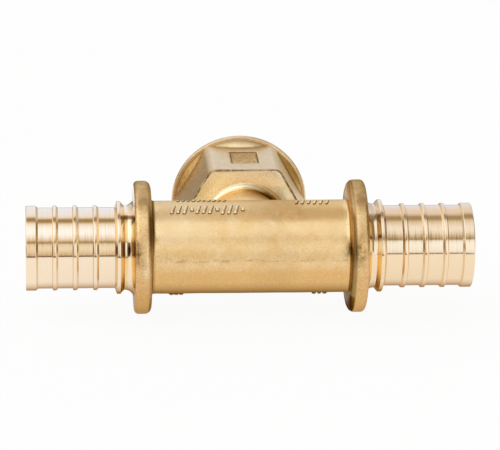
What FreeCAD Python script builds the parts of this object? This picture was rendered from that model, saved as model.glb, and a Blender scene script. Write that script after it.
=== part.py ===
import FreeCAD, Part
import math
import os
import Sketcher
from FreeCAD import Placement, Rotation, Vector

# Forged brass tee: a straight run with a ribbed tube end on each side and a female threaded branch.
# The run lies along X and the branch along +Y, and the origin is where their axes cross.
# All sizes are in millimetres, and each is the driving dimension of one feature.
SIZES = {
    # run, end to end
    "run_length": 100.0,
    "run_bore": 14.8,
    "tube_dia": 20.84,
    # ribbed tube ends, measured inwards from the end face
    "barb_length": 19.85,
    "shank_dia": 18.12,
    "rib_dia": 19.0,
    "land_length": 2.26,
    "rib_setback": 6.4,
    "rib_pitch": 4.51,
    "rib_count": 3,
    "rib_crest": 0.7,
    "rib_front": 0.12,
    "rib_back": 0.44,
    # stop ridge behind the ribs and the turned groove between it and the collar
    "ridge_dia": 20.8,
    "ridge_front": 0.45,
    "ridge_crest": 0.75,
    "ridge_back": 0.87,
    "groove_dia": 18.9,
    "groove_radius": 2.2,
    # forged collars
    "collar_dia": 29.86,
    "collar_width": 3.9,
    "collar_outer_edge": 0.4,
    "collar_inner_edge": 0.75,
    # branch: neck, hexagon and round flange at the mouth
    "mouth_height": 35.7,
    "neck_dia": 19.2,
    "neck_fillet": 2.5,
    "shoulder_height": 14.6,
    "shoulder_root": 0.6,
    "hex_flats": 27.32,
    "hex_corner": 2.0,
    "hex_edge": 0.25,
    "flange_dia": 31.66,
    "flange_rim": 1.35,
    "flange_edge": 0.3,
    "cone_dia": 30.2,
    "cone_length": 7.85,
    # bare recessed panel on the upper flat of the hexagon
    "panel_length": 9.0,
    "panel_width": 6.2,
    "panel_shift": 0.4,
    "panel_height": 24.7,
    "panel_depth": 0.3,
    # branch interior: threaded socket, drilled bottom and waterway
    "thread_dia": 21.2,
    "thread_depth": 13.6,
    "thread_runout": 1.4,
    "pilot_dia": 18.4,
    "pilot_depth": 16.5,
    "drill_point": 1.08,
    "branch_bore": 14.8,
    "mouth_chamfer": 0.8,
}


def make_sheet(doc):
    sheet = doc.addObject("Spreadsheet::Sheet", "sizes")
    for row, (alias, value) in enumerate(SIZES.items(), start=1):
        cell = "A%d" % row
        sheet.set(cell, str(value))
        sheet.setAlias(cell, alias)
    doc.recompute()
    return sheet


def half(alias):
    return SIZES[alias] / 2


def origin_part(body, role):
    return next(item for item in body.Origin.OriginFeatures if item.Role == role)


def new_sketch(body, name, role):
    sketch = body.newObject("Sketcher::SketchObject", name)
    sketch.AttachmentSupport = [(origin_part(body, role), "")]
    sketch.MapMode = "FlatFace"
    return sketch


def draw_outline(sketch, points, keep_square=True):
    """Joins the points with lines in a closed loop, and keeps level and upright lines so."""
    count = len(points)
    ends = [(points[i], points[(i + 1) % count]) for i in range(count)]
    sketch.addGeometry([Part.LineSegment(Vector(*a, 0), Vector(*b, 0)) for a, b in ends])
    for i, (a, b) in enumerate(ends):
        sketch.addConstraint(Sketcher.Constraint("Coincident", i, 2, (i + 1) % count, 1))
        if not keep_square:
            continue
        if abs(a[1] - b[1]) < 1e-6:
            sketch.addConstraint(Sketcher.Constraint("Horizontal", i))
        elif abs(a[0] - b[0]) < 1e-6:
            sketch.addConstraint(Sketcher.Constraint("Vertical", i))


def point_of(sketch, corner):
    """A corner of the outline, or the sketch's origin where the corner is None."""
    if corner is None:
        return (-1, 1), Vector(0, 0, 0)
    return (corner, 1), sketch.getPoint(corner, 1)


def dimension(sketch, kind, start, end, expression):
    """Sets how far the end corner lies from the start corner along one direction of the sketch."""
    first, a = point_of(sketch, start)
    second, b = point_of(sketch, end)
    reach = b.x - a.x if kind == "DistanceX" else b.y - a.y
    index = sketch.addConstraint(Sketcher.Constraint(kind, *first, *second, reach))
    name = "size_%d" % index
    sketch.renameConstraint(index, name)
    sketch.setExpression("Constraints." + name, expression)


def across(sketch, start, end, expression):
    dimension(sketch, "DistanceX", start, end, expression)


def upward(sketch, start, end, expression):
    dimension(sketch, "DistanceY", start, end, expression)


def pin_to_origin(sketch, corner):
    sketch.addConstraint(Sketcher.Constraint("Coincident", corner, 1, -1, 1))


def revolve(body, name, sketch, axis, kind="PartDesign::Revolution"):
    turned = body.newObject(kind, name)
    turned.Profile = sketch
    turned.ReferenceAxis = (sketch, [axis])
    turned.Angle = 360
    return turned


def edges_where(feature, test):
    """The names of the feature's edges on which the test holds all along."""
    return [
        "Edge%d" % number
        for number, edge in enumerate(feature.Shape.Edges, start=1)
        if all(test(point) for point in edge.discretize(7))
    ]


def dress(doc, body, kind, name, size, expression, test):
    """Rounds or chamfers the edges of the body's last feature that pass the test."""
    doc.recompute()
    base = body.Tip
    names = edges_where(base, test)
    if not names:
        raise ValueError("no edge found for " + name)
    feature = body.newObject(kind, name)
    feature.Base = (base, names)
    feature.setExpression(size, expression)
    return feature


def fillet(doc, body, name, alias, test):
    return dress(doc, body, "PartDesign::Fillet", name, "Radius", "sizes." + alias, test)


def chamfer(doc, body, name, alias, test):
    return dress(doc, body, "PartDesign::Chamfer", name, "Size", "sizes." + alias, test)


def near(value, target):
    return abs(value - target) < 0.01


def from_run_axis(point):
    return (point.y**2 + point.z**2) ** 0.5


def from_branch_axis(point):
    return (point.x**2 + point.z**2) ** 0.5


def run_circle(place, radius):
    """A test for the circles of this radius on the run, at this distance either side of the middle."""
    return lambda p: near(abs(p.x), place) and near(from_run_axis(p), radius)


def branch_circle(height, radius):
    """A test for the circle of this radius on the branch, at this height above the run's axis."""
    return lambda p: near(p.y, height) and near(from_branch_axis(p), radius)


def neck_meets_tube(point):
    return near(from_branch_axis(point), half("neck_dia")) and near(from_run_axis(point), half("tube_dia"))


def hexagon(body):
    """The spanner hexagon of the branch, with one flat facing up, from its shoulder to the mouth."""
    sketch = new_sketch(body, "hexagon_outline", "XZ_Plane")
    sketch.AttachmentOffset = Placement(Vector(0, 0, -SIZES["shoulder_height"]), Rotation())
    sketch.setExpression(".AttachmentOffset.Base.z", "-sizes.shoulder_height")
    radius = half("hex_flats") * 2 / 3**0.5
    corners = [Vector(radius, 0, 0)]
    for _ in range(5):
        corners.append(Rotation(Vector(0, 0, 1), 60).multVec(corners[-1]))
    draw_outline(sketch, [(corner.x, corner.y) for corner in corners], keep_square=False)
    circle = sketch.addGeometry(Part.Circle(Vector(0, 0, 0), Vector(0, 0, 1), radius), True)
    sketch.addConstraint(Sketcher.Constraint("Coincident", circle, 3, -1, 1))
    for corner in range(6):
        sketch.addConstraint(Sketcher.Constraint("PointOnObject", corner, 1, circle))
    for side in range(1, 6):
        sketch.addConstraint(Sketcher.Constraint("Equal", 0, side))
    sketch.addConstraint(Sketcher.Constraint("Horizontal", 1))
    upward(sketch, 5, 1, "sizes.hex_flats")
    pad = body.newObject("PartDesign::Pad", "hexagon")
    pad.Profile = sketch
    pad.Reversed = True
    pad.setExpression("Length", "sizes.mouth_height - sizes.shoulder_height")
    return pad


def branch_outline(body):
    """Half section of the neck, the cone behind the mouth and the round flange."""
    neck = half("neck_dia")
    mouth = SIZES["mouth_height"]
    rim = mouth - SIZES["flange_rim"]
    cone = half("cone_dia")
    points = [
        (0, 0),
        (neck, 0),
        (neck, rim - SIZES["cone_length"]),
        (cone, rim),
        (half("flange_dia"), rim),
        (half("flange_dia"), mouth),
        (0, mouth),
    ]
    sketch = new_sketch(body, "branch_outline", "XY_Plane")
    draw_outline(sketch, points)
    pin_to_origin(sketch, 0)
    across(sketch, None, 1, "sizes.neck_dia / 2")
    upward(sketch, 2, 3, "sizes.cone_length")
    across(sketch, None, 3, "sizes.cone_dia / 2")
    across(sketch, None, 4, "sizes.flange_dia / 2")
    upward(sketch, 4, 5, "sizes.flange_rim")
    upward(sketch, None, 6, "sizes.mouth_height")
    return sketch


def run_outline(body):
    """Half section of one side of the run, from the middle of the tee to its end face."""
    end = half("run_length")
    shank = half("shank_dia")
    land = half("rib_dia")
    ridge = half("ridge_dia")
    groove = half("groove_dia")
    collar = half("collar_dia")
    land_back = end - SIZES["land_length"]
    ridge_foot = end - SIZES["barb_length"]
    ridge_outer = ridge_foot - SIZES["ridge_front"]
    ridge_inner = ridge_outer - SIZES["ridge_crest"]
    ridge_back = ridge_inner - SIZES["ridge_back"]
    hollow = SIZES["groove_radius"]
    collar_face = ridge_back - hollow
    collar_back = collar_face - SIZES["collar_width"]
    diagonal = hollow * math.sin(math.radians(45))
    points = [
        (0, 0),
        (end, 0),
        (end, land),
        (land_back, land),
        (land_back - SIZES["rib_back"], shank),
        (ridge_foot, shank),
        (ridge_outer, ridge),
        (ridge_inner, ridge),
        (ridge_back, groove),
        (ridge_back - diagonal, groove + hollow - diagonal),
        (collar_face, groove + hollow),
        (collar_face, collar),
        (collar_back, collar),
        (collar_back, half("tube_dia")),
        (0, half("tube_dia")),
    ]
    sketch = new_sketch(body, "run_outline", "XY_Plane")
    draw_outline(sketch, points)
    pin_to_origin(sketch, 0)
    across(sketch, None, 1, "sizes.run_length / 2")
    upward(sketch, None, 2, "sizes.rib_dia / 2")
    across(sketch, 3, 2, "sizes.land_length")
    across(sketch, 4, 3, "sizes.rib_back")
    upward(sketch, None, 4, "sizes.shank_dia / 2")
    across(sketch, 5, 2, "sizes.barb_length")
    across(sketch, 6, 5, "sizes.ridge_front")
    upward(sketch, None, 6, "sizes.ridge_dia / 2")
    across(sketch, 7, 6, "sizes.ridge_crest")
    across(sketch, 8, 7, "sizes.ridge_back")
    upward(sketch, None, 8, "sizes.groove_dia / 2")
    across(sketch, 9, 8, "sizes.groove_radius * sin(45)")
    upward(sketch, 9, 10, "sizes.groove_radius * sin(45)")
    across(sketch, 10, 8, "sizes.groove_radius")
    upward(sketch, 8, 10, "sizes.groove_radius")
    upward(sketch, None, 11, "sizes.collar_dia / 2")
    across(sketch, 12, 11, "sizes.collar_width")
    upward(sketch, None, 13, "sizes.tube_dia / 2")
    return sketch


def rib_outline(body):
    """Section of the outermost rib: steep towards the end face, sloping back towards the collar."""
    middle = half("run_length") - SIZES["rib_setback"]
    shank = half("shank_dia")
    crest = half("rib_dia")
    root = (half("shank_dia") + half("run_bore")) / 2
    outer = middle + SIZES["rib_crest"] / 2
    inner = middle - SIZES["rib_crest"] / 2
    points = [
        (inner - SIZES["rib_back"], root),
        (outer + SIZES["rib_front"], root),
        (outer + SIZES["rib_front"], shank),
        (outer, crest),
        (inner, crest),
        (inner - SIZES["rib_back"], shank),
    ]
    sketch = new_sketch(body, "rib_outline", "XY_Plane")
    draw_outline(sketch, points)
    across(sketch, None, 3, "sizes.run_length / 2 - sizes.rib_setback + sizes.rib_crest / 2")
    upward(sketch, None, 3, "sizes.rib_dia / 2")
    across(sketch, 4, 3, "sizes.rib_crest")
    across(sketch, 3, 2, "sizes.rib_front")
    across(sketch, 5, 4, "sizes.rib_back")
    upward(sketch, None, 2, "sizes.shank_dia / 2")
    upward(sketch, None, 5, "sizes.shank_dia / 2")
    upward(sketch, None, 1, "(sizes.shank_dia + sizes.run_bore) / 4")
    return sketch


def socket_outline(body):
    """Half section of what is machined out of the branch, from its mouth to the run's axis."""
    mouth = SIZES["mouth_height"]
    thread = half("thread_dia")
    pilot = half("pilot_dia")
    bore = half("branch_bore")
    chamfer_foot = mouth - SIZES["mouth_chamfer"]
    thread_end = mouth - SIZES["thread_depth"]
    pilot_end = mouth - SIZES["pilot_depth"]
    points = [
        (0, 0),
        (bore, 0),
        (bore, pilot_end - SIZES["drill_point"]),
        (pilot, pilot_end),
        (pilot, thread_end - SIZES["thread_runout"]),
        (thread, thread_end),
        (thread, chamfer_foot),
        (thread + SIZES["mouth_chamfer"], mouth),
        (0, mouth),
    ]
    sketch = new_sketch(body, "socket_outline", "XY_Plane")
    draw_outline(sketch, points)
    pin_to_origin(sketch, 0)
    across(sketch, None, 1, "sizes.branch_bore / 2")
    upward(sketch, 2, 3, "sizes.drill_point")
    across(sketch, None, 3, "sizes.pilot_dia / 2")
    upward(sketch, 3, 8, "sizes.pilot_depth")
    upward(sketch, 4, 5, "sizes.thread_runout")
    across(sketch, None, 5, "sizes.thread_dia / 2")
    upward(sketch, 5, 8, "sizes.thread_depth")
    upward(sketch, 6, 7, "sizes.mouth_chamfer")
    across(sketch, 6, 7, "sizes.mouth_chamfer")
    upward(sketch, None, 8, "sizes.mouth_height")
    return sketch


def add_ribs(doc, body):
    """The ribs of both ends: one rib, repeated inwards and mirrored to the other end."""
    rib = revolve(body, "rib", rib_outline(body), "H_Axis")
    doc.recompute()
    ribs = body.newObject("PartDesign::MultiTransform", "ribs")
    ribs.Originals = [rib]
    inwards = body.newObject("PartDesign::LinearPattern", "ribs_inwards")
    inwards.Direction = (origin_part(body, "X_Axis"), [""])
    inwards.Reversed = True
    inwards.Mode = "Spacing"
    inwards.setExpression("Offset", "sizes.rib_pitch")
    inwards.setExpression("Occurrences", "sizes.rib_count")
    opposite = body.newObject("PartDesign::Mirrored", "ribs_opposite")
    opposite.MirrorPlane = (origin_part(body, "YZ_Plane"), [""])
    ribs.Transformations = [inwards, opposite]
    body.Tip = ribs
    return ribs


def add_run(doc, body):
    """Both sides of the run: tube, collars, grooves, ridges and tube ends."""
    side = revolve(body, "run_side", run_outline(body), "H_Axis")
    doc.recompute()
    both = body.newObject("PartDesign::Mirrored", "run_sides")
    both.Originals = [side]
    both.MirrorPlane = (origin_part(body, "YZ_Plane"), [""])
    body.Tip = both
    return both


def finish_hexagon(doc, body):
    """Rounded corners along the hexagon and a small bevel round its shoulder."""
    corner_radius = half("hex_flats") * 2 / 3**0.5
    fillet(doc, body, "hexagon_corners", "hex_corner", lambda p: near(from_branch_axis(p), corner_radius))
    chamfer(doc, body, "shoulder_edges", "hex_edge", lambda p: near(p.y, SIZES["shoulder_height"]))


def finish_collars(doc, body):
    """Bevels on the collars: small on the turned outer face, larger on the forged inner one."""
    ridge = SIZES["ridge_front"] + SIZES["ridge_crest"] + SIZES["ridge_back"]
    face = half("run_length") - SIZES["barb_length"] - ridge - SIZES["groove_radius"]
    back = face - SIZES["collar_width"]
    collar = half("collar_dia")
    chamfer(doc, body, "collar_outer_edges", "collar_outer_edge", run_circle(face, collar))
    chamfer(doc, body, "collar_inner_edges", "collar_inner_edge", run_circle(back, collar))


def finish_branch(doc, body):
    """The fillet where the neck grows out of the tube, and the bevels above it."""
    shoulder = SIZES["shoulder_height"]
    rim = SIZES["mouth_height"] - SIZES["flange_rim"]
    fillet(doc, body, "neck_roots", "neck_fillet", neck_meets_tube)
    chamfer(doc, body, "neck_top", "shoulder_root", branch_circle(shoulder, half("neck_dia")))
    chamfer(doc, body, "flange_edges", "flange_edge", branch_circle(rim, half("flange_dia")))


def add_panel(body):
    """A shallow bare recess on the upper flat of the hexagon."""
    width = half("panel_width")
    length = half("panel_length")
    middle = SIZES["panel_height"]
    shift = SIZES["panel_shift"]
    points = [
        (shift - width, middle - length),
        (shift + width, middle - length),
        (shift + width, middle + length),
        (shift - width, middle + length),
    ]
    sketch = new_sketch(body, "panel_outline", "XY_Plane")
    sketch.AttachmentOffset = Placement(Vector(0, 0, half("hex_flats")), Rotation())
    sketch.setExpression(".AttachmentOffset.Base.z", "sizes.hex_flats / 2")
    draw_outline(sketch, points)
    across(sketch, 0, 1, "sizes.panel_width")
    upward(sketch, 1, 2, "sizes.panel_length")
    across(sketch, None, 1, "sizes.panel_shift + sizes.panel_width / 2")
    upward(sketch, None, 2, "sizes.panel_height + sizes.panel_length / 2")
    pocket = body.newObject("PartDesign::Pocket", "panel")
    pocket.Profile = sketch
    pocket.setExpression("Length", "sizes.panel_depth")
    return pocket


def add_run_bore(body):
    sketch = new_sketch(body, "run_bore_outline", "YZ_Plane")
    sketch.addGeometry(Part.Circle(Vector(0, 0, 0), Vector(0, 0, 1), half("run_bore")))
    sketch.addConstraint(Sketcher.Constraint("Coincident", 0, 3, -1, 1))
    index = sketch.addConstraint(Sketcher.Constraint("Diameter", 0, SIZES["run_bore"]))
    sketch.renameConstraint(index, "bore")
    sketch.setExpression("Constraints.bore", "sizes.run_bore")
    pocket = body.newObject("PartDesign::Pocket", "run_bore")
    pocket.Profile = sketch
    pocket.Midplane = True
    pocket.Type = "ThroughAll"
    return pocket


def make_tee(doc):
    body = doc.addObject("PartDesign::Body", "tee_body")
    body.Label = "tee_body"
    hexagon(body)
    finish_hexagon(doc, body)
    revolve(body, "branch", branch_outline(body), "V_Axis")
    add_run(doc, body)
    add_ribs(doc, body)
    finish_collars(doc, body)
    finish_branch(doc, body)
    doc.recompute()
    solid_volume = body.Shape.Volume
    revolve(body, "socket", socket_outline(body), "V_Axis", "PartDesign::Groove")
    doc.recompute()
    socket_volume = body.Shape.Volume
    add_run_bore(body)
    doc.recompute()
    bored_volume = body.Shape.Volume
    add_panel(body)
    doc.recompute()
    if not solid_volume > socket_volume > bored_volume > body.Shape.Volume:
        raise ValueError("a cut took nothing away")
    return body


def check(doc):
    doc.recompute()
    for item in doc.Objects:
        faults = [state for state in item.State if state in ("Invalid", "Error")]
        if faults:
            raise RuntimeError("%s is %s" % (item.Name, faults))
    for body in doc.findObjects("PartDesign::Body"):
        if body.Shape.isNull() or not body.Shape.isValid() or len(body.Shape.Solids) != 1:
            raise RuntimeError(body.Label + " isn't one valid solid")


def main():
    doc = FreeCAD.newDocument("tee")
    make_sheet(doc)
    make_tee(doc)
    check(doc)
    os.makedirs("parts", exist_ok=True)
    for body in doc.findObjects("PartDesign::Body"):
        body.Shape.exportStep("parts/%s.step" % body.Label)
        box = body.Shape.BoundBox
        print(body.Label, "%.2f x %.2f x %.2f mm" % (box.XLength, box.YLength, box.ZLength))


main()
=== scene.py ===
import math
import random

import bmesh
import bpy
from mathutils import Matrix, Vector, noise


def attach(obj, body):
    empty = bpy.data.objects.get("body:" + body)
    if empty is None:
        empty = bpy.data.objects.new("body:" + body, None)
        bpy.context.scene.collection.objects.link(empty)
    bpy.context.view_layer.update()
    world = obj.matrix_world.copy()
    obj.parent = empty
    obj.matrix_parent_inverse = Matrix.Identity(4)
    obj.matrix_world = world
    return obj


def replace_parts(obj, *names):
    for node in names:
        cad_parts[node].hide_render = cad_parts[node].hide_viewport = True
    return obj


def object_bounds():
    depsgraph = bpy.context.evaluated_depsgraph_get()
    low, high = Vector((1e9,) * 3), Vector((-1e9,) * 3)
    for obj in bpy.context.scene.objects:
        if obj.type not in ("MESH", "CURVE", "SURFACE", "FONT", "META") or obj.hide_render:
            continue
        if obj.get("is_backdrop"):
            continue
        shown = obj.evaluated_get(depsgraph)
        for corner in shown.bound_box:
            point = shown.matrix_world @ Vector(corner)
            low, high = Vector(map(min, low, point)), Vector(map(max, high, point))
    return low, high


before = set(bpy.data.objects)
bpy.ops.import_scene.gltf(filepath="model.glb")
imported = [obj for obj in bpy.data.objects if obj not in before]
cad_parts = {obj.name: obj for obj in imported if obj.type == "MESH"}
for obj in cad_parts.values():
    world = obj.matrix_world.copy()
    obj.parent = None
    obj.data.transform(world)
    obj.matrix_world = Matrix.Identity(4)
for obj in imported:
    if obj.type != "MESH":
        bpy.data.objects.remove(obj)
cad_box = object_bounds()

# Lengths are in millimetres up to the moment a mesh is made, and metres after that.
MM = 0.001

# ---------------------------------------------------------------- sizes of the tee
RUN_END = 50.0
RUN_BORE = 7.4
BORE_START = 49.4
TUBE = 10.42
SHANK = 9.06
RIB = 9.5
RIB_CENTRES = (43.6, 39.09, 34.58)
LAND_BACK = 47.74
LAND_FOOT = 47.3
RIDGE = 10.4
RIDGE_FOOT = 30.15
RIDGE_FRONT = 29.7
RIDGE_BACK = 28.95
GROOVE = 9.45
GROOVE_ARC = 2.2
GROOVE_FOOT = 28.08
COLLAR = 14.93
COLLAR_FACE = 25.88
COLLAR_BACK = 22.2
COLLAR_DRAFT = 0.3
COLLAR_EDGE = 0.95
COLLAR_BACK_EDGE = 1.45
COLLAR_ROOT = 0.6

NECK = 9.35
NECK_FILLET = 2.5
SHOULDER = 14.6
SHOULDER_FILLET = 1.3
SHOULDER_LEAN = 0.09
SHOULDER_LEAN_FROM = 9.8
SHOULDER_TURN = 0.022
HEX_INRADIUS = 13.66
HEX_CORNER = 2.0
HEX_FLAT_HALF = (HEX_INRADIUS - HEX_CORNER) * math.tan(math.radians(30))
HEX_EDGE = 0.4
CRESCENT_FOOT = 32.3
CRESCENT_TOP = 15.1
FLANGE = 15.83
FLANGE_BACK = 34.35
FLANGE_EDGE = 0.35
MOUTH = 35.7
MOUTH_EDGE = 0.25

PANEL_LEFT, PANEL_RIGHT = -2.7, 3.5
PANEL_LOW, PANEL_HIGH = 20.2, 29.2
PANEL_DEPTH = 0.3
PANEL_WALL = 0.08

THREAD_ROOT = 10.6
THREAD_TOP = 34.9
THREAD_END = 22.1
PILOT = 9.2
PILOT_TOP = 20.7
PILOT_END = 19.2
DRILL_END = 18.12
THREAD_PITCH = 1.814

# ---------------------------------------------------------------- meshing
RUN_STEPS = 144
PATCH_X = 15.0
PATCH_STEPS = 34
PATCH_COLUMNS = 40
SECTOR_STEPS = 36
CORNER_STEPS = 3
BRANCH_STEPS = 6 * SECTOR_STEPS
FORGED, TURNED, BORED, HEXAGON, PANEL, SHOULDER_FACE, CONE, MARK = range(8)


class Skin:
    """Collects grids of points, each with a material, and welds them where they meet."""

    def __init__(self):
        self.points = []
        self.faces = []
        self.materials = []

    def grid(self, rows, material, closed=True):
        start = len(self.points)
        width = len(rows[0])
        for row in rows:
            self.points.extend(row)
        for i in range(len(rows) - 1):
            for j in range(width if closed else width - 1):
                k = (j + 1) % width
                low, high = start + i * width, start + (i + 1) * width
                self.faces.append((low + j, low + k, high + k, high + j))
                self.materials.append(material)

    def bridge(self, outer, inner, material):
        """Triangles between two rings of points, each given with its angle, with different counts."""
        start = len(self.points)
        self.points.extend(point for _, point in outer)
        self.points.extend(point for _, point in inner)
        first, second = len(outer), len(inner)
        a = b = 0
        while a < first or b < second:
            next_outer = outer[(a + 1) % first][0] + 360 * ((a + 1) // first)
            next_inner = inner[(b + 1) % second][0] + 360 * ((b + 1) // second)
            here = (start + a % first, start + first + b % second)
            if b >= second or (a < first and next_outer <= next_inner):
                self.faces.append((*here, start + (a + 1) % first))
                a += 1
            else:
                self.faces.append((*here, start + first + (b + 1) % second))
                b += 1
            self.materials.append(material)

    def build(self, name, materials, weld=0.002):
        mesh = bpy.data.meshes.new(name)
        mesh.from_pydata([[c * MM for c in p] for p in self.points], [], self.faces)
        mesh.polygons.foreach_set("material_index", self.materials)
        for material in materials:
            mesh.materials.append(material)
        work = bmesh.new()
        work.from_mesh(mesh)
        bmesh.ops.remove_doubles(work, verts=work.verts, dist=weld * MM)
        bmesh.ops.recalc_face_normals(work, faces=work.faces)
        for face in work.faces:
            face.smooth = True
        work.to_mesh(mesh)
        work.free()
        piece = bpy.data.objects.new(name, mesh)
        bpy.context.scene.collection.objects.link(piece)
        return piece


def keep_flats_flat(piece):
    """Large faces set the shading, so the small roundings between them carry the turn."""
    modifier = piece.modifiers.new("flats", "WEIGHTED_NORMAL")
    modifier.weight = 50
    modifier.keep_sharp = False


def lerp(a, b, share):
    return a + (b - a) * share


def swing(first, last, turn, share):
    """The arm between two arms of one length that stand a turn apart."""
    return (first * math.sin((1 - share) * turn) + last * math.sin(share * turn)) / math.sin(turn)


def quarter(steps):
    """The sine and cosine at each step of a quarter turn, after its start."""
    turns = [math.radians(90 * step / steps) for step in range(1, steps + 1)]
    return [(math.sin(turn), math.cos(turn)) for turn in turns]


def polar(radius, turn, height):
    """A point given by its place round the branch's axis and along it."""
    return (radius * math.cos(turn), height, radius * math.sin(turn))


def rounded(corners, longest=None):
    """The outline through the corners, each given as (along, out, radius), with its corners rounded."""
    outline = [corners[0][:2]]
    for before, here, after in zip(corners, corners[1:], corners[2:]):
        point = Vector(here[:2])
        back = (Vector(before[:2]) - point).normalized()
        on = (Vector(after[:2]) - point).normalized()
        turn = math.pi - back.angle(on)
        if here[2] == 0 or turn < 0.01:
            outline.append(tuple(point))
            continue
        reach = here[2] * math.tan(turn / 2)
        centre = point + (back + on).normalized() * math.hypot(here[2], reach)
        steps = max(2, round(math.degrees(turn) / 18))
        first = point + back * reach - centre
        last = point + on * reach - centre
        for i in range(steps + 1):
            outline.append(tuple(centre + swing(first, last, turn, i / steps)))
    outline.append(corners[-1][:2])
    if longest is None:
        return outline
    fine = [outline[0]]
    for a, b in zip(outline, outline[1:]):
        pieces = max(1, math.ceil(math.dist(a, b) / longest))
        for i in range(1, pieces + 1):
            fine.append((a[0] + (b[0] - a[0]) * i / pieces, a[1] + (b[1] - a[1]) * i / pieces))
    return fine


def run_ring(x, radius):
    """A circle round the run, from the branch's side over the top."""
    step = math.tau / RUN_STEPS
    return [(x, radius * math.cos(step * j), radius * math.sin(step * j)) for j in range(RUN_STEPS)]


def turned_outline():
    corners = [
        (BORE_START, RUN_BORE, 0),
        (RUN_END, RUN_BORE, 0.4),
        (RUN_END, RIB, 0.25),
        (LAND_BACK, RIB, 0.15),
        (LAND_FOOT, SHANK, 0.1),
    ]
    for centre in RIB_CENTRES:
        corners += [
            (centre + 0.47, SHANK, 0.04),
            (centre + 0.35, RIB, 0.1),
            (centre - 0.35, RIB, 0.12),
            (centre - 0.79, SHANK, 0.1),
        ]
    corners += [(RIDGE_FOOT, SHANK, 0.1), (RIDGE_FRONT, RIDGE, 0.15), (RIDGE_BACK, RIDGE, 0.18)]
    corners.append((GROOVE_FOOT, GROOVE, 0.2))
    for sine, cosine in quarter(12):
        corners.append((GROOVE_FOOT - GROOVE_ARC * sine, GROOVE + GROOVE_ARC * (1 - cosine), 0))
    corners.append((COLLAR_FACE, COLLAR - COLLAR_EDGE - 0.01, 0))
    return rounded(corners)


def forged_outline():
    """From the collar's rim in to the edge of the patch that carries the branch."""
    corners = [
        (COLLAR_FACE, COLLAR - COLLAR_EDGE - 0.01, 0),
        (COLLAR_FACE, COLLAR, COLLAR_EDGE),
        (COLLAR_BACK, COLLAR, COLLAR_BACK_EDGE),
        (COLLAR_BACK - COLLAR_DRAFT, TUBE, COLLAR_ROOT),
        (PATCH_X, TUBE, 0),
    ]
    return rounded(corners, longest=0.5)


# ---------------------------------------------------------------- the branch's outline, seen along it
def hexagon_outline():
    """Points of the rounded hexagon with their outward directions, starting at the corner on +X."""
    centre = (HEX_INRADIUS - HEX_CORNER) / math.cos(math.radians(30))
    flat_steps = SECTOR_STEPS - 2 * CORNER_STEPS
    outline = []
    for index in range(BRANCH_STEPS):
        sector, place = divmod(index + CORNER_STEPS, SECTOR_STEPS)
        corner = math.radians(60 * sector)
        if place <= 2 * CORNER_STEPS:
            facing = corner + math.radians(30 * (place - CORNER_STEPS) / CORNER_STEPS)
            x = centre * math.cos(corner) + HEX_CORNER * math.cos(facing)
            z = centre * math.sin(corner) + HEX_CORNER * math.sin(facing)
        else:
            facing = corner + math.radians(30)
            along = lerp(-HEX_FLAT_HALF, HEX_FLAT_HALF, (place - 2 * CORNER_STEPS) / flat_steps)
            if sector == 1:
                along = -top_flat_stations()[place - 2 * CORNER_STEPS]
            x = HEX_INRADIUS * math.cos(facing) - along * math.sin(facing)
            z = HEX_INRADIUS * math.sin(facing) + along * math.cos(facing)
        outline.append((x, z, math.cos(facing), math.sin(facing)))
    return outline


def top_flat_stations():
    """Places across the top flat, from right to left, with a pair at each side of the panel."""
    spans = [
        (HEX_FLAT_HALF, PANEL_RIGHT + PANEL_WALL, 8),
        (PANEL_RIGHT - PANEL_WALL, PANEL_LEFT + PANEL_WALL, 15),
        (PANEL_LEFT - PANEL_WALL, -HEX_FLAT_HALF, 8),
    ]
    return [lerp(a, b, i / (count - 1)) for a, b, count in spans for i in range(count)]


def patch_border():
    """The edge of the tube's patch, as (x, angle round the run), from the middle of its +X side."""
    step = 360 / RUN_STEPS
    half_turn = PATCH_STEPS * step
    column = 2 * PATCH_X / PATCH_COLUMNS
    sides = (
        (PATCH_STEPS, lambda i: (PATCH_X, i * step)),
        (PATCH_COLUMNS, lambda i: (PATCH_X - i * column, half_turn)),
        (2 * PATCH_STEPS, lambda i: (-PATCH_X, half_turn - i * step)),
        (PATCH_COLUMNS, lambda i: (-PATCH_X + i * column, -half_turn)),
        (PATCH_STEPS, lambda i: (PATCH_X, -half_turn + i * step)),
    )
    places = [place(i) for count, place in sides for i in range(count)]
    return [(x, math.radians(degrees)) for x, degrees in places]


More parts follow.
